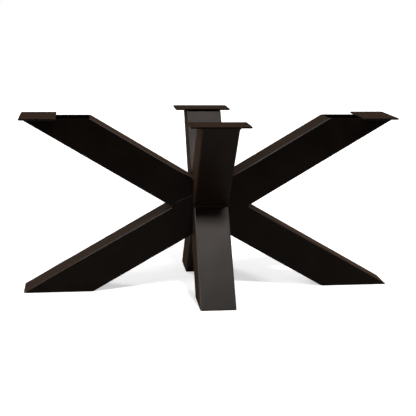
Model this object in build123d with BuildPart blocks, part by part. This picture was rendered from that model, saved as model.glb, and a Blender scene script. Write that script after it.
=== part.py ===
"""Spider table base: two X frames of square steel tube that cross at one hub.

The origin is on the floor under the hub. +Z is up, +X runs along the long frame to the right, and +Y runs along
the short frame to the back. All sizes are in millimetres and degrees.
"""

import os
from math import asin, atan2, cos, degrees, hypot, radians, sin, tan

from build123d import *

# Overall size, over the feet and the screw plates
overall_length = 1500.0
overall_width = 700.0
overall_height = 705.0

# Square tube, one section for both frames, cold-formed around an inside bend radius
tube_side = 140.0
tube_wall = 3.0
tube_bend_radius = 3.0

# The long frame's arms aim at a point this far under the hub's centre
long_arm_drop = 19.0

# Screw plates under the table top: a wing past each side of the tube, and a lip past the long arms' upper ends
plate_wing = 45.0
plate_lip = 5.0
plate_width = 140.0
plate_thickness = 6.0
plate_corner_radius = 10.0
plate_edge_break = 0.8

# Screw holes, one in each wing
hole_diameter = 11.0
hole_edge_distance = 15.0
hole_edge_break = 0.6

# Plates that close the feet
foot_plate_thickness = 4.0

# Sizes that follow from the ones above: the tubes cross half way up
half_length = overall_length / 2
half_width = overall_width / 2
hub_height = overall_height / 2
long_arm_start = hub_height - long_arm_drop
tube_half = tube_side / 2
bore_side = tube_side - 2 * tube_wall
tube_corner_radius = tube_bend_radius + tube_wall
plate_length = tube_side + 2 * plate_wing
plate_underside = overall_height - plate_thickness
hole_spacing = plate_length - 2 * hole_edge_distance

# Planes that cut the tubes to length
foot_cut = Plane.XY.offset(foot_plate_thickness)
plate_cut = Plane.XY.offset(plate_underside)


def slope_to(distance, rise):
    """Give the angle of a tube from the hub's centre line whose level cut, at a rise, ends at a distance."""
    return degrees(atan2(rise, distance) + asin(tube_half / hypot(distance, rise)))


# Slopes of the tubes: the feet reach the overall size, and the long arms stop short of it by the plates' lip
long_leg_angle = slope_to(half_length, hub_height)
long_arm_angle = slope_to(half_length - plate_lip, plate_underside - long_arm_start)
short_angle = slope_to(half_width, hub_height)


def tube_plane(heading, angle, height):
    """Give the plane across a tube that leaves the hub's centre line at a height.

    The plane's normal points along the tube, away from the hub: heading is its level direction, and a negative
    angle points it down. The plane's Y points out of the tube's upper face.
    """
    level = Vector(heading)
    slope = radians(angle)
    along = level * cos(slope) + Vector(0, 0, sin(slope))
    return Plane(origin=(0, 0, height), x_dir=Vector(0, 0, 1).cross(level), z_dir=along)


def flat_face(plane, offset):
    """Give the plane of a tube's upper face, or of its lower face where the offset is negative."""
    return Plane(origin=plane.origin + plane.y_dir * offset, z_dir=plane.y_dir)


def reach(angle):
    """Give a length along a tube that passes both the floor and the plates."""
    return overall_height / sin(radians(angle)) + tube_side / tan(radians(angle))


def write(piece, name):
    """Label a finished piece and write its file."""
    piece.part.label = name
    export_step(piece.part, f"parts/{name}.step")


os.makedirs("parts", exist_ok=True)

left, right, front, back = (-1, 0, 0), (1, 0, 0), (0, -1, 0), (0, 1, 0)

# The tube's section, open for a tube and filled for the plate that closes it
with BuildSketch() as tube_outline:
    RectangleRounded(tube_side, tube_side, tube_corner_radius)

with BuildSketch() as tube_section:
    add(tube_outline.sketch)
    RectangleRounded(bore_side, bore_side, tube_bend_radius, mode=Mode.SUBTRACT)

# Short frame: one through tube, from the front foot to the back plate
cross_plane = tube_plane(back, short_angle, hub_height)
with BuildPart() as cross_tube:
    with BuildSketch(cross_plane):
        add(tube_section.sketch)
    extrude(amount=reach(short_angle), both=True)
    split(bisect_by=foot_cut, keep=Keep.TOP)
    split(bisect_by=plate_cut, keep=Keep.BOTTOM)
write(cross_tube, "cross_tube")

# The cross tube's flat upper and lower faces, which the other two short tubes are coped onto
cross_upper_face = flat_face(cross_plane, tube_half)
cross_lower_face = flat_face(cross_plane, -tube_half)

with BuildPart() as front_arm:
    with BuildSketch(tube_plane(front, short_angle, hub_height)):
        add(tube_section.sketch)
    extrude(amount=reach(short_angle))
    split(bisect_by=cross_upper_face, keep=Keep.TOP)
    split(bisect_by=plate_cut, keep=Keep.BOTTOM)
write(front_arm, "front_arm")

with BuildPart() as back_leg:
    with BuildSketch(tube_plane(back, -short_angle, hub_height)):
        add(tube_section.sketch)
    extrude(amount=reach(short_angle))
    split(bisect_by=cross_lower_face, keep=Keep.BOTTOM)
    split(bisect_by=foot_cut, keep=Keep.TOP)
write(back_leg, "back_leg")

# Long frame: on each side a leg, and an arm that stands on the leg's upper face, both against the short frame
for side, heading in {"left": left, "right": right}.items():
    hub_side = Plane(origin=Vector(heading) * tube_half, z_dir=heading)
    leg_plane = tube_plane(heading, -long_leg_angle, hub_height)
    leg_upper_face = flat_face(leg_plane, tube_half)
    arm_plane = tube_plane(heading, long_arm_angle, long_arm_start)

    with BuildPart() as long_leg:
        with BuildSketch(leg_plane):
            add(tube_section.sketch)
        extrude(amount=reach(long_leg_angle))
        split(bisect_by=hub_side, keep=Keep.TOP)
        split(bisect_by=foot_cut, keep=Keep.TOP)
    write(long_leg, f"{side}_leg")

    with BuildPart() as long_arm:
        with BuildSketch(arm_plane):
            add(tube_section.sketch)
        extrude(amount=reach(long_arm_angle))
        split(bisect_by=hub_side, keep=Keep.TOP)
        split(bisect_by=leg_upper_face, keep=Keep.TOP)
        split(bisect_by=plate_cut, keep=Keep.BOTTOM)
    write(long_arm, f"{side}_arm")

# Feet: a plate closes each leg at the floor, ground flush with the tube's sloping walls
feet = {
    "left": (left, long_leg_angle),
    "right": (right, long_leg_angle),
    "front": (front, short_angle),
    "back": (back, short_angle),
}
for side, (heading, angle) in feet.items():
    with BuildPart() as foot_plate:
        with BuildSketch(tube_plane(heading, -angle, hub_height)):
            add(tube_outline.sketch)
        extrude(amount=reach(angle))
        split(bisect_by=Plane.XY, keep=Keep.TOP)
        split(bisect_by=foot_cut, keep=Keep.BOTTOM)
    write(foot_plate, f"{side}_foot_plate")

# Screw plates: each lies across the outer end of its arm, above the foot's tip, and leaves the arm's cut open behind
plate_edges = {
    "left": (left, half_length),
    "right": (right, half_length),
    "front": (front, half_width),
    "back": (back, half_width),
}
for side, (heading, outer_edge) in plate_edges.items():
    outward = Vector(heading)
    centre = outward * (outer_edge - plate_width / 2) + Vector(0, 0, plate_underside)
    plate_plane = Plane(origin=centre, x_dir=outward.cross(Vector(0, 0, 1)), z_dir=(0, 0, 1))
    with BuildPart() as plate:
        with BuildSketch(plate_plane):
            RectangleRounded(plate_length, plate_width, plate_corner_radius)
        extrude(amount=plate_thickness)
        chamfer(plate.edges().group_by(Axis.Z)[-1], plate_edge_break)
        chamfer(plate.edges().group_by(Axis.Z)[0], plate_edge_break)
        with Locations(plate_plane.offset(plate_thickness)):
            with GridLocations(hole_spacing, 0, 2, 1):
                Hole(hole_diameter / 2)
        chamfer(plate.edges(Select.LAST).group_by(Axis.Z)[-1], hole_edge_break)
    write(plate, f"{side}_plate")
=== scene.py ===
"""Dress the spider table base.

Coated tubes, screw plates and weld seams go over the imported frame. A plain studio and the photograph's
camera go around it. Lengths are in metres, unless a line names another unit.
"""

import logging
import math
from dataclasses import dataclass
from enum import Enum

import bmesh
import bpy
from bpy.types import Material, Mesh, Node, NodeSocket, NodeTree, Object
from mathutils import Matrix, Vector


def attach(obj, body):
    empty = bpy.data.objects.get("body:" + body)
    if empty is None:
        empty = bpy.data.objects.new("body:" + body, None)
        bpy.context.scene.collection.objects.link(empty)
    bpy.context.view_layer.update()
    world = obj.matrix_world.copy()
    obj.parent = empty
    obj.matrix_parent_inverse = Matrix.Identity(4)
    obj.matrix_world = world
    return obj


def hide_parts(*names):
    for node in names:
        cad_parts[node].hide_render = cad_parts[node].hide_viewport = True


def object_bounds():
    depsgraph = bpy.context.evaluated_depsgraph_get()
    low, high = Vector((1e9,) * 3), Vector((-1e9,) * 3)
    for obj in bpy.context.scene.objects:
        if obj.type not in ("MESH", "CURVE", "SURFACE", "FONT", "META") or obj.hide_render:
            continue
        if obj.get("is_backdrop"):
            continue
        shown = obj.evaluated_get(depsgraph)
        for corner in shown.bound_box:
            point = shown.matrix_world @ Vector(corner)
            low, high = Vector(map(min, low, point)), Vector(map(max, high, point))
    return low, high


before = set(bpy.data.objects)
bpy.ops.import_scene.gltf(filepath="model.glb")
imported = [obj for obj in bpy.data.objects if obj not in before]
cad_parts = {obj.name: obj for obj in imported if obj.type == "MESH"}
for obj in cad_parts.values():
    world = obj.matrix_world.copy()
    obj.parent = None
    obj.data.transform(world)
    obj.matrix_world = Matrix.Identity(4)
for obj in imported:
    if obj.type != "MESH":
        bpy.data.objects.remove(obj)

LOG = logging.getLogger("table_base")
MM = 0.001
UP = Vector((0.0, 0.0, 1.0))
WHITE = "#ffffff"
BODY = "root"
POLISH = "polish"

# A place in a tube's section: distance across the tube and distance towards its upper face
Spot = tuple[float, float]


class Side(Enum):
    """The four ways in which the tubes leave the hub."""

    LEFT = "left"
    RIGHT = "right"
    FRONT = "front"
    BACK = "back"

    @property
    def heading(self) -> Vector:
        """Level unit vector from the hub to this side."""
        headings = {"left": (-1, 0, 0), "right": (1, 0, 0), "front": (0, -1, 0), "back": (0, 1, 0)}
        return Vector(headings[self.value])


LONG_SIDES = (Side.LEFT, Side.RIGHT)
SHORT_SIDES = (Side.FRONT, Side.BACK)


def linear(hex_colour: str) -> tuple[float, float, float, float]:
    """Turn an sRGB hex colour to linear light.

    Args:
        hex_colour: Six hex digits after a hash.

    Returns:
        Red, green, blue and an alpha of one.
    """
    parts = [int(hex_colour[i:i + 2], 16) / 255 for i in (1, 3, 5)]
    red, green, blue = (c / 12.92 if c <= 0.04045 else ((c + 0.055) / 1.055) ** 2.4 for c in parts)
    return red, green, blue, 1.0


def add_node(tree: NodeTree, kind: str, settings: dict | None = None,
             values: dict | None = None, links: dict | None = None) -> Node:
    """Add a node with its settings, socket values and incoming links.

    Args:
        tree: The tree that gets the node.
        kind: The node's type name.
        settings: Attributes of the node.
        values: Socket name or number to a constant.
        links: Socket name or number to the output that feeds it.

    Returns:
        The new node.
    """
    node = tree.nodes.new(kind)
    for name, value in (settings or {}).items():
        setattr(node, name, value)
    for socket, value in (values or {}).items():
        node.inputs[socket].default_value = value
    for socket, output in (links or {}).items():
        tree.links.new(output, node.inputs[socket])
    return node


def add_object(name: str, mesh: Mesh) -> Object:
    """Put a mesh into the scene as an object at the origin.

    Args:
        name: The object's name.
        mesh: Its mesh.

    Returns:
        The new object.
    """
    piece = bpy.data.objects.new(name, mesh)
    bpy.context.scene.collection.objects.link(piece)
    return piece


def settle(piece: Object) -> None:
    """Turn a piece with live modifiers into a plain mesh.

    Args:
        piece: The piece, which keeps its name.
    """
    graph = bpy.context.evaluated_depsgraph_get()
    plain = bpy.data.meshes.new_from_object(piece.evaluated_get(graph), preserve_all_data_layers=True,
                                            depsgraph=graph)
    piece.modifiers.clear()
    rough = piece.data
    piece.data = plain
    bpy.data.meshes.remove(rough)
    plain.name = piece.name


def hand_over(piece: Object, coat: Material, replaced: str = "") -> None:
    """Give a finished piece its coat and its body.

    Args:
        piece: The finished piece.
        coat: The finish of the whole base.
        replaced: Name of the CAD node that the piece stands for, if any.
    """
    piece.data.materials.clear()
    piece.data.materials.append(coat)
    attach(piece, BODY)
    if replaced:
        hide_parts(replaced)
    LOG.info("%s: %d faces", piece.name, len(piece.data.polygons))


@dataclass(frozen=True)
class PowderCoat:
    """Black polyester powder coat, sprayed dry and baked on steel.

    It levels to a satin film with a faint orange peel, so broad faces stay near black, rounded edges draw a
    soft bright line and flat tops pick up a warm grey sheen.

    Attributes:
        name: Material name.
        dark: Colour of the film where it is thickest.
        light: Colour of the film where it is thinnest.
        film_span: Noise levels of the thickest and of the thinnest film.
        gloss_tint: Colour of the film's reflection.
        ior: Refractive index, low for a dulled film.
        rubbed: Weight of the slick that hands and cloths leave on the upper corners.
        rubbed_roughness: Roughness of that slick.
        roughness: Roughness range over the surface, looked at straight on.
        roughness_span: Noise levels at which the film is smoothest and roughest.
        grazing: Roughness at a grazing view, where the film's fine texture hides its own gloss.
        dulling: Turn of the view, 0 straight on and 1 edge on, where the roughness starts and stops rising.
        fading: Specular level straight on and at a grazing view.
        fading_span: Turn of the view where the specular level starts and stops falling.
        peel: Width of an orange peel dimple, coarser than the real 2 mm, which would not show.
        peel_detail: Octaves of the dimples' noise.
        peel_depth: Depth of the dimples.
        mottle: Width of the patches of thicker and thinner film.
        mottle_detail: Octaves of the patches' noise.
        sheen: Weight of the warm bloom that the fine texture shows at a grazing view.
        sheen_roughness: How far that bloom spreads.
        sheen_tint: Colour of that bloom.
    """

    name: str = "black_powder_coat"
    dark: str = "#020101"
    light: str = "#060403"
    film_span: tuple[float, float] = (0.35, 0.65)
    gloss_tint: str = "#fff2e9"
    ior: float = 1.14
    rubbed: float = 0.9
    rubbed_roughness: float = 0.25
    roughness: tuple[float, float] = (0.30, 0.33)
    roughness_span: tuple[float, float] = (0.3, 0.7)
    grazing: float = 0.7
    dulling: tuple[float, float] = (0.35, 0.95)
    fading: tuple[float, float] = (0.5, 0.02)
    fading_span: tuple[float, float] = (0.35, 0.8)
    peel: float = 7 * MM
    peel_detail: float = 2.0
    peel_depth: float = 0.03 * MM
    mottle: float = 90 * MM
    mottle_detail: float = 3.0
    sheen: float = 0.07
    sheen_roughness: float = 0.5
    sheen_tint: str = "#ffc298"

    def material(self) -> Material:
        """Build the node material.

        Returns:
            The coat for every piece of the base.
        """
        material = bpy.data.materials.new(self.name)
        material.use_nodes = True
        tree = material.node_tree
        coat = tree.nodes["Principled BSDF"]

        # The same all over the surface
        constants = {
            "IOR": self.ior,
            "Specular Tint": linear(self.gloss_tint),
            "Sheen Weight": self.sheen,
            "Sheen Roughness": self.sheen_roughness,
            "Sheen Tint": linear(self.sheen_tint),
            "Coat Roughness": self.rubbed_roughness,
        }
        for socket, value in constants.items():
            coat.inputs[socket].default_value = value

        # Patches of thicker and thinner film
        place = add_node(tree, "ShaderNodeTexCoord").outputs["Object"]
        patches = add_node(tree, "ShaderNodeTexNoise",
                           values={"Scale": 1 / self.mottle, "Detail": self.mottle_detail},
                           links={"Vector": place})
        film = add_node(tree, "ShaderNodeValToRGB", links={"Fac": patches.outputs["Fac"]})
        stops = film.color_ramp.elements
        for stop, position, colour in zip(stops, self.film_span, (self.dark, self.light)):
            stop.position = position
            stop.color = linear(colour)

        # Gloss that follows the patches and goes at a grazing view
        gloss = add_node(tree, "ShaderNodeMapRange",
                         values={"From Min": self.roughness_span[0], "From Max": self.roughness_span[1],
                                 "To Min": self.roughness[0], "To Max": self.roughness[1]},
                         links={"Value": patches.outputs["Fac"]})
        turn = add_node(tree, "ShaderNodeLayerWeight").outputs["Facing"]
        dulled = add_node(tree, "ShaderNodeMapRange",
                          values={"From Min": self.dulling[0], "From Max": self.dulling[1],
                                  "To Max": self.grazing},
                          links={"Value": turn, "To Min": gloss.outputs["Result"]})
        faded = add_node(tree, "ShaderNodeMapRange",
                         values={"From Min": self.fading_span[0], "From Max": self.fading_span[1],
                                 "To Min": self.fading[0], "To Max": self.fading[1]},
                         links={"Value": turn})

        # Slick on the upper corners
        corners = add_node(tree, "ShaderNodeAttribute", {"attribute_name": POLISH})
        slick = add_node(tree, "ShaderNodeMapRange", values={"To Max": self.rubbed},
                         links={"Value": corners.outputs["Fac"]})

        # Orange peel
        dimples = add_node(tree, "ShaderNodeTexNoise",
                           values={"Scale": 1 / self.peel, "Detail": self.peel_detail},
                           links={"Vector": place})
        bump = add_node(tree, "ShaderNodeBump", values={"Distance": self.peel_depth},
                        links={"Height": dimples.outputs["Fac"]})

        fed = {
            "Base Color": film.outputs["Color"],
            "Roughness": dulled.outputs["Result"],
            "Specular IOR Level": faded.outputs["Result"],
            "Coat Weight": slick.outputs["Result"],
            "Normal": bump.outputs["Normal"],
        }
        for socket, output in fed.items():
            tree.links.new(output, coat.inputs[socket])
        return material


@dataclass(frozen=True)
class CutPlane:
    """A plane that ends a tube.

    Attributes:
        point: A point on the plane.
        normal: The plane's normal.
    """

    point: Vector
    normal: Vector


def level_plane(height: float) -> CutPlane:
    """Give the level plane at a height."""
    return CutPlane(UP * height, UP)


@dataclass(frozen=True)
class TubeSection:
    """Square tube, cold-formed around an inside bend.

    Attributes:
        side: Outside width.
        wall: Wall thickness.
        bend: Inside bend radius.
        steps: Facets around each corner.
    """

    side: float = 140 * MM
    wall: float = 3 * MM
    bend: float = 3 * MM
    steps: int = 8

    @property
    def half(self) -> float:
        """Half of the outside width."""
        return self.side / 2

    @property
    def corner(self) -> float:
        """Outside corner radius."""
        return self.bend + self.wall

    def loop(self, inset: float = 0.0, levels: tuple[float, ...] = ()) -> list[Spot]:
        """Trace the section, from the lower right corner round past the right, upper and left sides.

        Args:
            inset: Distance inside the outer face.
            levels: Heights at which both upright sides get one more point.

        Returns:
            The section's points.
        """
        centre = self.half - self.corner
        radius = self.corner - inset
        points = []
        for quarter, (across, upward) in enumerate(((1, -1), (1, 1), (-1, 1), (-1, -1))):
            for step in range(self.steps + 1):
                turn = math.radians(90 * (quarter - 1 + step / self.steps))
                sideways = across * centre + radius * math.cos(turn)
                height = upward * centre + radius * math.sin(turn)
                points.append((sideways, height))
            if quarter == 0:
                points += [(self.half - inset, level) for level in sorted(levels)]
            if quarter == 2:
                points += [(inset - self.half, level) for level in sorted(levels, reverse=True)]
        return points

    def rubbed(self, levels: tuple[float, ...] = ()) -> list[float]:
        """Tell how much each point of the loop is rubbed: the middles of the upper corners most.

        Args:
            levels: Heights at which both upright sides get one more point.

        Returns:
            A share from none to one for each point.
        """
        plain = [0.0] * (self.steps + 1)
        extra = [0.0] * len(levels)
        corner = [math.sin(math.pi * step / self.steps) for step in range(self.steps + 1)]
        return plain + extra + corner + corner + extra + plain


@dataclass(frozen=True)
class TubeRun:
    """The line of a straight tube that leaves the hub's centre line.

    Attributes:
        heading: Level direction away from the hub.
        slope: Rise of the line in radians, negative for a leg.
        start: Height of the line at the hub's centre line.
    """

    heading: Vector
    slope: float
    start: float

    @property
    def along(self) -> Vector:
        """Unit vector along the tube, away from the hub."""
        return self.heading * math.cos(self.slope) + UP * math.sin(self.slope)

    @property
    def upward(self) -> Vector:
        """Unit vector out of the tube's upper face."""
        return UP * math.cos(self.slope) - self.heading * math.sin(self.slope)

    @property
    def across(self) -> Vector:
        """Level unit vector across the tube."""
        return UP.cross(self.heading)

    def face(self, offset: float) -> CutPlane:
        """Give the plane at an offset towards the upper face."""
        return CutPlane(UP * self.start + self.upward * offset, self.upward)

    def foot(self, spot: Spot) -> Vector:
        """Give the point from which a line of the section runs along the tube."""
        return UP * self.start + self.across * spot[0] + self.upward * spot[1]

    def reach(self, spot: Spot, plane: CutPlane) -> float:
        """Give the distance along the tube at which a line of the section meets a plane."""
        return plane.normal.dot(plane.point - self.foot(spot)) / plane.normal.dot(self.along)

    def meet(self, spot: Spot, plane: CutPlane) -> Vector:
        """Give the point at which a line of the section meets a plane."""
        return self.foot(spot) + self.along * self.reach(spot, plane)

    def level_at(self, first: CutPlane, second: CutPlane, width: float) -> float:
        """Give the height in the section at which two planes that lie across the tube end it alike.

        Args:
            first: One plane.
            second: The other plane.
            width: A height in the section that tells how fast the planes part.

        Returns:
            The height towards the upper face.
        """
        gap = self.reach((0.0, 0.0), first) - self.reach((0.0, 0.0), second)
        wider = self.reach((0.0, width), first) - self.reach((0.0, width), second)
        return gap * width / (gap - wider)


@dataclass
class CoatedTube:
    """One length of tube, cut by planes, with its cut edges eased before coating.

    Attributes:
        node: The CAD node it stands for.
        section: The tube's section.
        run: The tube's line.
        starts: Planes that end the tube at the hub.
        finish: Plane that ends it at the floor or under a plate.
        levels: Heights in the section at which the planes at the hub change over.
        filled: True for a plate that closes the tube.
        kept: Share of the rubbed line that is left at the far end, negative where it ends sooner.
        ease: Radius of the eased edges.
        ease_steps: Facets across an eased edge.
        sharp: Angle in degrees from which an edge is eased.
        flatness: How much more large faces count in the shading than small ones, from 50 for alike to 100.
    """

    node: str
    section: TubeSection
    run: TubeRun
    starts: tuple[CutPlane, ...]
    finish: CutPlane
    levels: tuple[float, ...] = ()
    filled: bool = False
    kept: float = 1.0
    ease: float = 0.7 * MM
    ease_steps: int = 3
    sharp: float = 35.0
    flatness: int = 100

    def ring(self, inset: float) -> tuple[list[Vector], list[Vector]]:
        """Give the section's points at both ends of the tube.

        Args:
            inset: Distance inside the outer face.

        Returns:
            The points at the hub end and at the far end.
        """
        spots = self.section.loop(inset, self.levels)
        hub_end = []
        for spot in spots:
            last = max(self.starts, key=lambda plane: self.run.reach(spot, plane))
            hub_end.append(self.run.meet(spot, last))
        return hub_end, [self.run.meet(spot, self.finish) for spot in spots]

    def build_mesh(self) -> Mesh:
        """Make the tube's mesh with sharp cut edges.

        Returns:
            The mesh, with the rubbed share of each point.
        """
        rings = [self.ring(0.0)] if self.filled else [self.ring(0.0), self.ring(self.section.wall)]
        shape = bmesh.new()
        polish = shape.verts.layers.float.new(POLISH)
        loops = [[[shape.verts.new(point) for point in end] for end in ring] for ring in rings]
        near, far = loops[0]
        for end, kept in ((near, 1.0), (far, self.kept)):
            for vert, share in zip(end, self.section.rubbed(self.levels)):
                vert[polish] = share * kept
        count = len(near)
        for i in range(count):
            j = (i + 1) % count
            shape.faces.new((near[i], near[j], far[j], far[i]))
            if not self.filled:
                bore_near, bore_far = loops[1]
                shape.faces.new((bore_near[j], bore_near[i], bore_far[i], bore_far[j]))
                shape.faces.new((far[i], far[j], bore_far[j], bore_far[i]))
                shape.faces.new((near[j], near[i], bore_near[i], bore_near[j]))
        if self.filled:
            shape.faces.new(far)
            shape.faces.new(reversed(near))
        mesh = bpy.data.meshes.new(f"{self.node}_coated")
        shape.to_mesh(mesh)
        shape.free()
        mesh.shade_smooth()
        return mesh

    def build(self) -> Object:
        """Make the tube and ease its edges.

        Returns:
            The finished piece, still without its coat.
        """
        mesh = self.build_mesh()
        piece = add_object(mesh.name, mesh)
        bevel = piece.modifiers.new("eased_edges", "BEVEL")
        bevel.width = self.ease
        bevel.segments = self.ease_steps
        bevel.limit_method = "ANGLE"
        bevel.angle_limit = math.radians(self.sharp)
        flats = piece.modifiers.new("flat_faces", "WEIGHTED_NORMAL")
        flats.weight = self.flatness
        settle(piece)
        return piece


@dataclass(frozen=True)
class BeadTree:
    """Geometry Nodes tree that lays a rippled weld bead along each path of a wire mesh.

    Attributes:
        pitch: Distance between ripples.
        steps: Points along each ripple.
        waist: Radius between two ripples as a share of the full one.
        wander: How far the radius strays as a share of itself.
        wander_length: Length over which it strays.
        wander_detail: Octaves of the straying's noise.
        taper: Length over which an open end starts and stops.
        closed_taper: The same for a bead without ends.
        tip: Radius at an open end as a share of the full one.
        sides: Facets around the bead.
    """

    pitch: float = 5.0 * MM
    steps: float = 6.0
    waist: float = 0.84
    wander: float = 0.18
    wander_length: float = 30 * MM
    wander_detail: float = 1.0
    taper: float = 6.0 * MM
    closed_taper: float = 0.01 * MM
    tip: float = 0.35
    sides: int = 12

    def build(self) -> NodeTree:
        """Build the node tree.

        Returns:
            The tree, which takes a path, a bead's sizes and its coat.
        """
        tree = bpy.data.node_groups.new("weld_bead", "GeometryNodeTree")
        for name, kind in (("Path", "Geometry"), ("Radius", "Float"), ("Pitch", "Float"), ("Waist", "Float"),
                           ("Taper", "Float"), ("Polish", "Float"), ("Coat", "Material")):
            tree.interface.new_socket(name, in_out="INPUT", socket_type=f"NodeSocket{kind}")
        tree.interface.new_socket("Bead", in_out="OUTPUT", socket_type="NodeSocketGeometry")
        given = add_node(tree, "NodeGroupInput").outputs

        # The path in fine steps
        path = add_node(tree, "GeometryNodeMeshToCurve", links={"Mesh": given["Path"]})
        step = add_node(tree, "ShaderNodeMath", {"operation": "DIVIDE"}, {1: self.steps}, {0: given["Pitch"]})
        fine = add_node(tree, "GeometryNodeResampleCurve", {"mode": "LENGTH"},
                        links={"Curve": path.outputs["Curve"], "Length": step.outputs["Value"]})
        walked = add_node(tree, "GeometryNodeSplineParameter").outputs["Length"]
        whole = add_node(tree, "GeometryNodeSplineLength").outputs["Length"]

        # Ripples along it
        turned = add_node(tree, "ShaderNodeMath", {"operation": "MULTIPLY"}, {1: math.pi}, {0: walked})
        phase = add_node(tree, "ShaderNodeMath", {"operation": "DIVIDE"},
                         links={0: turned.outputs["Value"], 1: given["Pitch"]})
        wave = add_node(tree, "ShaderNodeMath", {"operation": "SINE"}, links={0: phase.outputs["Value"]})
        hump = add_node(tree, "ShaderNodeMath", {"operation": "ABSOLUTE"}, links={0: wave.outputs["Value"]})
        ripples = add_node(tree, "ShaderNodeMapRange",
                           links={"Value": hump.outputs["Value"], "To Min": given["Waist"]})

        # A radius that strays as the welder's hand does
        place = add_node(tree, "GeometryNodeInputPosition").outputs["Position"]
        hand = add_node(tree, "ShaderNodeTexNoise",
                        values={"Scale": 1 / self.wander_length, "Detail": self.wander_detail},
                        links={"Vector": place})
        stray = add_node(tree, "ShaderNodeMapRange",
                         values={"To Min": 1 - self.wander, "To Max": 1 + self.wander},
                         links={"Value": hand.outputs["Fac"]})

        # Tapered ends
        rest = add_node(tree, "ShaderNodeMath", {"operation": "SUBTRACT"}, links={0: whole, 1: walked})
        left = add_node(tree, "ShaderNodeMath", {"operation": "MINIMUM"},
                        links={0: walked, 1: rest.outputs["Value"]})
        ends = add_node(tree, "ShaderNodeMapRange", {"interpolation_type": "SMOOTHERSTEP"},
                        {"To Min": self.tip}, {"Value": left.outputs["Value"], "From Max": given["Taper"]})

        # The bead itself
        size = given["Radius"]
        for share in (ripples, stray, ends):
            scaled = add_node(tree, "ShaderNodeMath", {"operation": "MULTIPLY"},
                              links={0: size, 1: share.outputs["Result"]})
            size = scaled.outputs["Value"]
        outline = add_node(tree, "GeometryNodeCurvePrimitiveCircle", values={"Resolution": self.sides})
        bead = add_node(tree, "GeometryNodeCurveToMesh", values={"Fill Caps": True},
                        links={"Curve": fine.outputs["Curve"], "Profile Curve": outline.outputs["Curve"],
                               "Scale": size})
        rubbed = add_node(tree, "GeometryNodeStoreNamedAttribute", {"data_type": "FLOAT", "domain": "POINT"},
                          {"Name": POLISH}, {"Geometry": bead.outputs["Mesh"], "Value": given["Polish"]})
        smooth = add_node(tree, "GeometryNodeSetShadeSmooth", links={"Geometry": rubbed.outputs["Geometry"]})
        real = add_node(tree, "GeometryNodeRealizeInstances", links={"Geometry": smooth.outputs["Geometry"]})
        dressed = add_node(tree, "GeometryNodeSetMaterial",
                           links={"Geometry": real.outputs["Geometry"], "Material": given["Coat"]})
        add_node(tree, "NodeGroupOutput", links={"Bead": dressed.outputs["Geometry"]})
        return tree


@dataclass
class WeldSeam:
    """A set of weld beads of one size.

    Attributes:
        name: Name of the finished piece.
        paths: Points of each bead.
        radius: Radius of the beads.
        closed: True where each bead runs round to its start.
        polish: How much the beads are rubbed, from none to one.
    """

    name: str
    paths: list[list[Vector]]
    radius: float
    closed: bool = False
    polish: float = 0.0

    def build(self, tree: NodeTree, beads: BeadTree, coat: Material) -> Object:
        """Lay the beads and make them a plain mesh.

        Args:
            tree: The node tree that lays a bead.
            beads: The sizes that all beads share.
            coat: The finish.

        Returns:
            The finished piece.
        """
        points = []
        edges = []
        for path in self.paths:
            first = len(points)
            points += path
            edges += [(i, i + 1) for i in range(first, len(points) - 1)]
            if self.closed:
                edges.append((len(points) - 1, first))
        wire = bpy.data.meshes.new(self.name)
        wire.from_pydata(points, edges, [])
        piece = add_object(self.name, wire)
        layer = piece.modifiers.new("weld_bead", "NODES")
        layer.node_group = tree
        inputs = {
            "Radius": self.radius,
            "Pitch": beads.pitch,
            "Waist": beads.waist,
            "Taper": beads.closed_taper if self.closed else beads.taper,
            "Polish": self.polish,
            "Coat": coat,
        }
        for socket in tree.interface.items_tree:
            if socket.in_out == "INPUT" and socket.name in inputs:
                layer[socket.identifier] = inputs[socket.name]
        settle(piece)
        return piece


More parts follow.
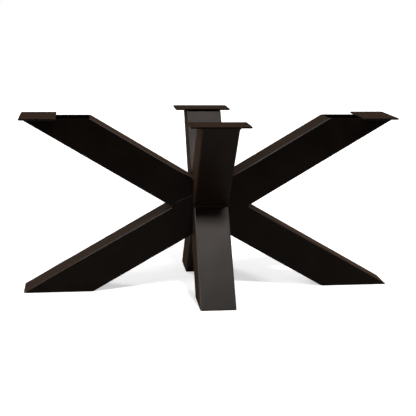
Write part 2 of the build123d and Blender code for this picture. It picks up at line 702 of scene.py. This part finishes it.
@dataclass
class TableBase:
    """The welded base: two crossing frames of one tube, with feet and plates.

    Attributes:
        half_length: Half of the overall length.
        half_width: Half of the overall width.
        height: Overall height.
        arm_drop: How far under the hub's centre the long arms aim.
        lip: How far the long plates pass the arms' upper ends.
        plate_width: Width of a plate along its arm.
        plate_thickness: Thickness of the plates.
        foot_thickness: Thickness of the plates that close the feet.
        leg_kept: Share of the rubbed line left at the long legs' feet, negative where it ends sooner.
        arm_kept: Share of the rubbed line left at the long arms' plates.
        section: The tube's section.
    """

    half_length: float
    half_width: float
    height: float
    arm_drop: float = 19 * MM
    lip: float = 5 * MM
    plate_width: float = 140 * MM
    plate_thickness: float = 6 * MM
    foot_thickness: float = 4 * MM
    leg_kept: float = -0.4
    arm_kept: float = 0.8
    section: TubeSection = TubeSection()

    def __post_init__(self) -> None:
        """Work out the lines and planes that the sizes give."""
        hub = self.height / 2
        half = self.section.half
        self.underside = self.height - self.plate_thickness
        self.floor = level_plane(0.0)
        self.foot_cut = level_plane(self.foot_thickness)
        self.plate_cut = level_plane(self.underside)
        arm_rise = self.underside - hub + self.arm_drop
        self.long_arms = {}
        self.legs = {}
        for side in LONG_SIDES:
            arm_slope = self.slope_to(self.half_length - self.lip, arm_rise)
            self.long_arms[side] = TubeRun(side.heading, arm_slope, hub - self.arm_drop)
            self.legs[side] = TubeRun(side.heading, -self.slope_to(self.half_length, hub), hub)
        for side in SHORT_SIDES:
            self.legs[side] = TubeRun(side.heading, -self.slope_to(self.half_width, hub), hub)
        self.front_arm = TubeRun(Side.FRONT.heading, self.slope_to(self.half_width, hub), hub)
        self.cross = TubeRun(Side.BACK.heading, self.slope_to(self.half_width, hub), hub)
        self.cross_upper = self.cross.face(half)
        self.cross_lower = self.cross.face(-half)

    def slope_to(self, distance: float, rise: float) -> float:
        """Give the slope of a tube whose level cut, at a rise, ends at a distance from the hub."""
        return math.atan2(rise, distance) + math.asin(self.section.half / math.hypot(distance, rise))

    def hub_side(self, side: Side) -> CutPlane:
        """Give the plane of the short frame's flat side."""
        return CutPlane(side.heading * self.section.half, side.heading)

    def tubes(self) -> list[CoatedTube]:
        """List the tubes and the plates that close the feet.

        Returns:
            One entry for each CAD node that is built again.
        """
        section = self.section
        pieces = [
            CoatedTube("cross_tube", section, self.cross, (self.foot_cut,), self.plate_cut),
            CoatedTube("front_arm", section, self.front_arm, (self.cross_upper,), self.plate_cut),
            CoatedTube("back_leg", section, self.legs[Side.BACK], (self.cross_lower,), self.foot_cut),
        ]
        for side in LONG_SIDES:
            leg = self.legs[side]
            arm = self.long_arms[side]
            hub_side = self.hub_side(side)
            on_leg = leg.face(section.half)
            change = arm.level_at(hub_side, on_leg, section.half)
            pieces += [
                CoatedTube(f"{side.value}_leg", section, leg, (hub_side,), self.foot_cut, kept=self.leg_kept),
                CoatedTube(f"{side.value}_arm", section, arm, (hub_side, on_leg), self.plate_cut,
                           levels=(change,), kept=self.arm_kept),
            ]
        for side, leg in self.legs.items():
            node = f"{side.value}_foot_plate"
            pieces.append(CoatedTube(node, section, leg, (self.foot_cut,), self.floor, filled=True))
        return pieces

    def dress(self, coat: Material) -> None:
        """Build the tubes over their nodes and coat the screw plates.

        Args:
            coat: The finish of the whole base.
        """
        for tube in self.tubes():
            hand_over(tube.build(), coat, tube.node)
        for side in Side:
            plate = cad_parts[f"{side.value}_plate"]
            plate.data.materials.clear()
            plate.data.materials.append(coat)
            LOG.info("%s: coated", plate.name)


@dataclass(frozen=True)
class FlankJoint:
    """A joint that lies flush in the side faces of two tubes.

    Attributes:
        start: One end of the joint.
        end: Its other end.
        outward: Unit vector out of the side faces.
        upward: Unit vector out of the face that carries the other tube.
    """

    start: Vector
    end: Vector
    outward: Vector
    upward: Vector


@dataclass
class WeldSeams:
    """The seams that join the tubes and the plates.

    Attributes:
        base: The base that they join.
        hub_radius: Radius of the beads round the long tubes' butt joints.
        valley_radius: Radius of the beads in the long frame's valleys.
        cross_radius: Radius of the beads in the short frame's valleys.
        plate_radius: Radius of the beads along an arm's sides under its plate.
        plate_sink: How far under the plate the middle of these beads lies.
        tip_radius: Radius of the beads round an arm's tip.
        crest_radius: Radius of the bead that is left standing on the left arm's near face.
        crest_lift: How far above the leg that bead starts.
        crest_shares: Where along the joint that bead has its points, as shares of the joint's length.
        crest_inset: How far into the face the middle of that bead lies, as a share of its radius.
        crest_polish: How much that bead is rubbed, from none to one.
        proud: How far a ground seam stands out of the faces it joins.
        ground_above: How far it reaches past its joint.
        ground_below: How far it reaches past the notch under its joint.
        beads: The sizes that all beads share.
    """

    base: TableBase
    hub_radius: float = 4.0 * MM
    valley_radius: float = 5.0 * MM
    cross_radius: float = 8.0 * MM
    plate_radius: float = 5.0 * MM
    plate_sink: float = 2.5 * MM
    tip_radius: float = 3.8 * MM
    crest_radius: float = 2.6 * MM
    crest_lift: float = 12.0 * MM
    crest_shares: tuple[float, ...] = (0.12, 0.3, 0.5, 0.7, 0.85, 1.0)
    crest_inset: float = 0.45
    crest_polish: float = 0.4
    proud: float = 0.15 * MM
    ground_above: float = 0.4 * MM
    ground_below: float = 0.3 * MM
    beads: BeadTree = BeadTree()

    def __post_init__(self) -> None:
        """Split the section into its lower corners and its upper ones."""
        loop = self.base.section.loop()
        corner = len(loop) // 4
        self.lower_right = loop[:corner]
        self.upper = loop[corner:3 * corner]
        self.lower_left = loop[3 * corner:]
        self.lower = self.lower_left + self.lower_right

    def hub_loop(self, side: Side) -> list[Vector]:
        """Trace the butt joint of a long leg and its arm on the short frame.

        Args:
            side: The side of the hub.

        Returns:
            The joint's points, all the way round.
        """
        plane = self.base.hub_side(side)
        leg = self.base.legs[side]
        arm = self.base.long_arms[side]
        path = [leg.meet(spot, plane) for spot in self.lower_right]
        path += [arm.meet(spot, plane) for spot in self.upper]
        return path + [leg.meet(spot, plane) for spot in self.lower_left]

    def long_valleys(self) -> list[list[Vector]]:
        """Trace the valley between each long arm and its leg.

        Returns:
            The points of both valleys.
        """
        paths = []
        for side in LONG_SIDES:
            carrier = self.base.legs[side].face(self.base.section.half)
            paths.append([self.base.long_arms[side].meet(spot, carrier) for spot in self.lower])
        return paths

    def cross_valleys(self) -> list[list[Vector]]:
        """Trace the four valleys of the short frame.

        Returns:
            The points of each valley.
        """
        base = self.base
        paths = []
        for run, plane in ((base.front_arm, base.cross_upper), (base.legs[Side.BACK], base.cross_lower)):
            for spots in (self.lower, self.upper):
                paths.append([run.meet(spot, plane) for spot in spots])
        return paths

    def plate_arms(self) -> list[tuple[TubeRun, float]]:
        """List the arms with their plates.

        Returns:
            Each arm and the distance of its plate's outer edge from the hub.
        """
        base = self.base
        arms = [(arm, base.half_length) for arm in base.long_arms.values()]
        return arms + [(base.front_arm, base.half_width), (base.cross, base.half_width)]

    def plate_sides(self) -> list[list[Vector]]:
        """Trace the seams along both sides of each arm under its plate.

        Returns:
            Both ends of each seam.
        """
        base = self.base
        section = base.section
        seam_level = level_plane(base.underside - self.plate_sink)
        paths = []
        for arm, outer_edge in self.plate_arms():
            inner_edge = CutPlane(arm.heading * (outer_edge - base.plate_width), arm.heading)
            top = arm.level_at(inner_edge, base.plate_cut, section.half) - self.plate_radius
            for flank in (-section.half, section.half):
                ends = ((flank, section.corner - section.half), (flank, top))
                paths.append([arm.meet(spot, seam_level) for spot in ends])
        return paths

    def plate_tips(self) -> list[list[Vector]]:
        """Trace the seams round the arms' tips under the plates."""
        cut = self.base.plate_cut
        return [[arm.meet(spot, cut) for spot in self.lower] for arm, _ in self.plate_arms()]

    def flank_joints(self) -> list[FlankJoint]:
        """List the joints that lie flush in two tubes' side faces.

        Returns:
            Two joints for each tube that stands on another one: left arm, right arm, front arm and back leg.
        """
        base = self.base
        half = base.section.half
        flat = half - base.section.corner
        joints = []
        for side in LONG_SIDES:
            arm = base.long_arms[side]
            carrier = base.legs[side].face(half)
            change = arm.level_at(base.hub_side(side), carrier, half)
            for way in (-1, 1):
                start, end = (arm.meet((way * half, level), carrier) for level in (-flat, change))
                joints.append(FlankJoint(start, end, arm.across * way, carrier.normal))
        back_leg = base.legs[Side.BACK]
        for run, carrier, sign in ((base.front_arm, base.cross_upper, 1), (back_leg, base.cross_lower, -1)):
            for way in (-1, 1):
                start, end = (run.meet((way * half, level), carrier) for level in (-flat, flat))
                joints.append(FlankJoint(start, end, run.across * way, carrier.normal * sign))
        return joints

    def crest(self) -> list[Vector]:
        """Trace the bead that is left standing on the left arm's near face.

        Returns:
            The bead's points.
        """
        # The left arm comes first, and its second joint is the near one
        _, joint, *_ = self.flank_joints()
        inset = joint.outward * (self.crest_radius * self.crest_inset)
        path = []
        for share in self.crest_shares:
            lift = joint.upward * (self.crest_lift * (1 - share))
            path.append(joint.start.lerp(joint.end, share) + lift - inset)
        return path

    def build_ground(self) -> Object:
        """Fill the rounded notch at each flush joint with weld that is ground level with the side faces.

        Returns:
            The finished piece, still without its coat.
        """
        depth = self.base.section.corner
        profile = (
            (self.proud, -self.ground_above),
            (self.proud, depth + self.ground_below),
            (-depth, depth),
            (-depth, 0.0),
        )
        count = len(profile)
        shape = bmesh.new()
        for joint in self.flank_joints():
            rings = []
            for place in (joint.start, joint.end):
                points = [place + joint.outward * out - joint.upward * down for out, down in profile]
                rings.append([shape.verts.new(point) for point in points])
            near, far = rings
            for i in range(count):
                j = (i + 1) % count
                shape.faces.new((near[i], near[j], far[j], far[i]))
            shape.faces.new(reversed(near))
            shape.faces.new(far)
        bmesh.ops.recalc_face_normals(shape, faces=shape.faces)
        mesh = bpy.data.meshes.new("ground_seams")
        shape.to_mesh(mesh)
        shape.free()
        return add_object(mesh.name, mesh)

    def dress(self, coat: Material) -> None:
        """Lay every seam and coat it.

        Args:
            coat: The finish of the whole base.
        """
        hub_loops = [self.hub_loop(side) for side in LONG_SIDES]
        seams = (
            WeldSeam("hub_seams", hub_loops, self.hub_radius, closed=True),
            WeldSeam("long_valley_seams", self.long_valleys(), self.valley_radius),
            WeldSeam("cross_valley_seams", self.cross_valleys(), self.cross_radius),
            WeldSeam("plate_side_seams", self.plate_sides(), self.plate_radius),
            WeldSeam("plate_tip_seams", self.plate_tips(), self.tip_radius),
            WeldSeam("left_crest_seam", [self.crest()], self.crest_radius, polish=self.crest_polish),
        )
        tree = self.beads.build()
        for seam in seams:
            hand_over(seam.build(tree, self.beads, coat), coat)
        hand_over(self.build_ground(), coat)


@dataclass
class PhotoCamera:
    """The camera at the photograph's angle.

    Attributes:
        position: Its place.
        yaw: Turn to the right from looking along +Y, in radians.
        pitch: Tilt above the horizon, in radians.
        roll: Turn about the line of sight, in radians.
        focal_px: Focal length in pixels of the photograph.
        frame_px: Width of the photograph in pixels.
        sensor_mm: Sensor width in millimetres.
    """

    position: tuple[float, float, float] = (-0.49953, -3.74243, 1.17834)
    yaw: float = 0.1324
    pitch: float = -0.2228
    roll: float = 0.0152
    focal_px: float = 944.34
    frame_px: float = 416.0
    sensor_mm: float = 36.0

    def build(self) -> None:
        """Make the camera and set it as the scene's."""
        level = Vector((math.sin(self.yaw), math.cos(self.yaw), 0.0))
        forward = level * math.cos(self.pitch) + UP * math.sin(self.pitch)
        flat_right = forward.cross(UP).normalized()
        flat_up = flat_right.cross(forward)
        right = flat_right * math.cos(self.roll) + flat_up * math.sin(self.roll)
        upward = flat_up * math.cos(self.roll) - flat_right * math.sin(self.roll)
        data = bpy.data.cameras.new("photo_camera")
        data.sensor_fit = "HORIZONTAL"
        data.sensor_width = self.sensor_mm
        data.lens = self.sensor_mm * self.focal_px / self.frame_px
        camera = bpy.data.objects.new("photo_camera", data)
        turn = Matrix((right, upward, -forward)).transposed().to_4x4()
        camera.matrix_world = Matrix.Translation(Vector(self.position)) @ turn
        bpy.context.scene.collection.objects.link(camera)
        bpy.context.scene.camera = camera
        LOG.info("%s: set up", camera.name)


@dataclass(frozen=True)
class SoftLight:
    """A broad soft light, far enough away to fall evenly on the object and the floor.

    Attributes:
        name: The lamp's name.
        toward: Direction to the lamp.
        width: Its width as seen from the object, in degrees.
        power: Its light on a facing surface, in watts per square metre.
    """

    name: str
    toward: tuple[float, float, float]
    width: float
    power: float

    def build(self) -> None:
        """Hang the lamp."""
        data = bpy.data.lights.new(self.name, "SUN")
        data.angle = math.radians(self.width)
        data.energy = self.power
        lamp = bpy.data.objects.new(self.name, data)
        lamp.rotation_mode = "QUATERNION"
        lamp.rotation_quaternion = Vector(self.toward).to_track_quat("Z", "Y")
        bpy.context.scene.collection.objects.link(lamp)
        LOG.info("%s: set up", lamp.name)


def seen_level(tree: NodeTree, unseen: float, reflected: float, seen: float) -> NodeSocket:
    """Give a strength that differs for light on the object, for reflections and for the camera.

    Args:
        tree: The tree that gets the nodes.
        unseen: Strength for the light that falls on the object.
        reflected: Strength for what a reflection or a refraction shows.
        seen: Strength for what the camera sees.

    Returns:
        The output that carries the strength.
    """
    path = add_node(tree, "ShaderNodeLightPath")
    mirrored = add_node(tree, "ShaderNodeMath", {"operation": "MAXIMUM"},
                        links={0: path.outputs["Is Glossy Ray"], 1: path.outputs["Is Transmission Ray"]})
    indirect = add_node(tree, "ShaderNodeMapRange", values={"To Min": unseen, "To Max": reflected},
                        links={"Value": mirrored.outputs["Value"]})
    level = add_node(tree, "ShaderNodeMapRange", values={"To Max": seen},
                     links={"Value": path.outputs["Is Camera Ray"], "To Min": indirect.outputs["Result"]})
    return level.outputs["Result"]


@dataclass(frozen=True)
class MattSheet:
    """A sheet of the studio that has no gloss at all.

    White uncoated paper takes soft shadows and, a little overexposed, reads as plain white. Black velvet
    swallows the light, so that a face turned to it mirrors nothing. From behind a sheet is clear, so that the
    object's underside can be looked at.

    Attributes:
        name: Material name.
        colour: Colour of the sheet.
        reflected: How much it glows by itself in reflections.
        seen: How much it glows by itself to the camera.
    """

    name: str
    colour: str
    reflected: float = 0.0
    seen: float = 0.0

    def material(self) -> Material:
        """Build the node material.

        Returns:
            The sheet's material.
        """
        material = bpy.data.materials.new(self.name)
        material.use_nodes = True
        tree = material.node_tree
        sheet = tree.nodes["Principled BSDF"]
        sheet.inputs["Base Color"].default_value = linear(self.colour)
        sheet.inputs["Roughness"].default_value = 1.0
        sheet.inputs["Specular IOR Level"].default_value = 0.0
        sheet.inputs["Emission Color"].default_value = linear(WHITE)
        glow = seen_level(tree, 0.0, self.reflected, self.seen)
        tree.links.new(glow, sheet.inputs["Emission Strength"])
        behind = add_node(tree, "ShaderNodeNewGeometry").outputs["Backfacing"]
        clear = add_node(tree, "ShaderNodeBsdfTransparent")
        surface = add_node(tree, "ShaderNodeMixShader",
                           links={0: behind, 1: sheet.outputs["BSDF"], 2: clear.outputs["BSDF"]})
        tree.links.new(surface.outputs["Shader"], tree.nodes["Material Output"].inputs["Surface"])
        return material


@dataclass
class Studio:
    """A white studio: paper on the floor, a white room, soft lights and a black curtain behind the camera.

    Attributes:
        paper: Finish of the floor.
        paper_half: How far the paper reaches to the sides and the back.
        paper_end: How far in front of the object the paper ends.
        paper_gap: How far under the feet it lies, so that it shares no plane with them.
        velvet: Finish of the curtain.
        curtain_distance: How far in front of the object the curtain hangs.
        curtain_half: Half of the curtain's side.
        fill: Strength of the room's own light on the object.
        white: Strength at which the room shows as white.
        lights: The soft lights.
    """

    paper: MattSheet = MattSheet("white_paper", "#e6e6e6", reflected=0.08, seen=0.55)
    paper_half: float = 40.0
    paper_end: float = 2.8
    paper_gap: float = 0.2 * MM
    velvet: MattSheet = MattSheet("black_velvet", "#020202")
    curtain_distance: float = 6.0
    curtain_half: float = 8.0
    fill: float = 0.3
    white: float = 1.0
    lights: tuple[SoftLight, ...] = (
        SoftLight("key_light", (0.13, -0.476, 0.870), width=8.0, power=1.95),
        SoftLight("left_light", (-0.50, -0.49, 0.71), width=18.0, power=0.6),
        SoftLight("rim_light", (-0.60, 0.62, 0.50), width=18.0, power=1.5),
    )

    def build_sheet(self, name: str, corners: list[tuple[float, float, float]], finish: MattSheet) -> Object:
        """Spread a flat sheet on the stage.

        Args:
            name: The sheet's name.
            corners: Its four corners, anticlockwise as seen from the object.
            finish: What it is made of.

        Returns:
            The sheet.
        """
        mesh = bpy.data.meshes.new(name)
        mesh.from_pydata(corners, [], [(0, 1, 2, 3)])
        mesh.materials.append(finish.material())
        sheet = add_object(name, mesh)
        sheet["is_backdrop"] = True
        LOG.info("%s: set up", sheet.name)
        return sheet

    def build_floor(self) -> None:
        """Roll out the paper."""
        half, end, level = self.paper_half, self.paper_end, -self.paper_gap
        corners = [(-half, -end, level), (half, -end, level), (half, half, level), (-half, half, level)]
        self.build_sheet("studio_floor", corners, self.paper)

    def build_curtain(self) -> None:
        """Hang the curtain that only reflections show, so that it hides nothing and shades nothing."""
        half, place = self.curtain_half, -self.curtain_distance
        corners = [(half, place, -half), (-half, place, -half), (-half, place, half), (half, place, half)]
        curtain = self.build_sheet("studio_curtain", corners, self.velvet)
        for ray in ("camera", "diffuse", "transmission", "shadow"):
            setattr(curtain, f"visible_{ray}", False)

    def build_world(self) -> None:
        """Light the room, and show it white to the camera and in reflections."""
        world = bpy.data.worlds.new("studio_room")
        bpy.context.scene.world = world
        world.use_nodes = True
        tree = world.node_tree
        background = tree.nodes["Background"]
        background.inputs["Color"].default_value = linear(WHITE)
        strength = seen_level(tree, self.fill, self.white, self.white)
        tree.links.new(strength, background.inputs["Strength"])
        LOG.info("%s: set up", world.name)

    def build(self) -> None:
        """Set up the floor, the curtain, the room and the lights."""
        self.build_floor()
        self.build_curtain()
        self.build_world()
        for light in self.lights:
            light.build()
        bpy.context.scene.view_settings.view_transform = "Standard"


def main() -> None:
    """Build every piece in order and report it."""
    logging.basicConfig(level=logging.INFO, format="%(name)s: %(message)s")
    cad_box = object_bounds()
    low, high = cad_box
    coat = PowderCoat().material()
    base = TableBase((high[0] - low[0]) / 2, (high[1] - low[1]) / 2, high[2] - low[2])
    base.dress(coat)
    WeldSeams(base).dress(coat)
    Studio().build()
    PhotoCamera().build()


if __name__ == "__main__":
    main()
